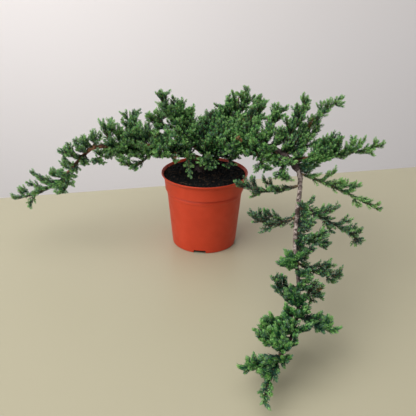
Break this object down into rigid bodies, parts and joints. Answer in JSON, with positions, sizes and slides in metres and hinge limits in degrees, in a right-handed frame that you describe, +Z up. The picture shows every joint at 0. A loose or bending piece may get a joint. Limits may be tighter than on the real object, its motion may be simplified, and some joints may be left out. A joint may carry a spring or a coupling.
{
  "type": "potted trailing juniper",
  "caption": "Trailing juniper with arching, needle-clad boughs, one hanging to the table, in a round orange plastic nursery pot.",
  "frame": {"origin": "centre of the pot's flat underside, on the surface that the pot stands on", "axes": "+Z up from the table, +X to the right seen from the front, towards the side whose bough carries the hanging branch, and -Y towards the front, where that branch reaches"},
  "size_m": [0.4229, 0.4155, 0.1999],
  "materials": {
    "pot_plastic": "satin terracotta-orange plastic",
    "potting_mix": "moist dark potting mix",
    "bark": "flaky red-brown to grey bark",
    "foliage": "short dark green needles"
  },
  "bodies": {
    "root": {"bough_left_inner": "bark", "bough_left_outer": "bark", "bough_rear": "bark", "bough_right": "bark", "bough_right_tip": "bark", "cascade_left_lower": "foliage", "cascade_left_tuft": "foliage", "cascade_left_upper": "foliage", "cascade_lower": "bark", "cascade_right_lower": "foliage", "cascade_right_middle": "foliage", "cascade_right_tuft": "foliage", "cascade_right_upper": "foliage", "cascade_upper": "bark", "crown_front": "foliage", "crown_left_back": "foliage", "crown_left_front": "foliage", "crown_left_low": "foliage", "crown_left_side": "foliage", "crown_left_tall": "foliage", "crown_left_top": "foliage", "crown_middle": "foliage", "crown_right_back": "foliage", "crown_right_front": "foliage", "crown_right_inner": "foliage", "crown_right_low": "foliage", "crown_right_side": "foliage", "crown_right_tall": "foliage", "leader_left": "bark", "leader_right": "bark", "left_crest": "foliage", "left_drop": "foliage", "left_far": "foliage", "left_loop": "foliage", "left_plume": "foliage", "left_rear": "foliage", "left_rise": "foliage", "left_shoot": "foliage", "left_under": "foliage", "pot": "pot_plastic", "potting_mix": "potting_mix", "rear_left": "foliage", "rear_middle": "foliage", "rear_right": "foliage", "right_crest": "foliage", "right_droop": "foliage", "right_far": "foliage", "right_front": "foliage", "right_inner_lift": "foliage", "right_lift": "foliage", "right_plume": "foliage", "right_rear": "foliage", "right_under": "foliage", "soil_tuft": "foliage", "tail": "foliage", "tail_left": "foliage", "tail_low_left": "foliage", "tail_middle_left": "foliage", "tail_right": "foliage", "trunk": "bark"}
  },
  "joints": []
}
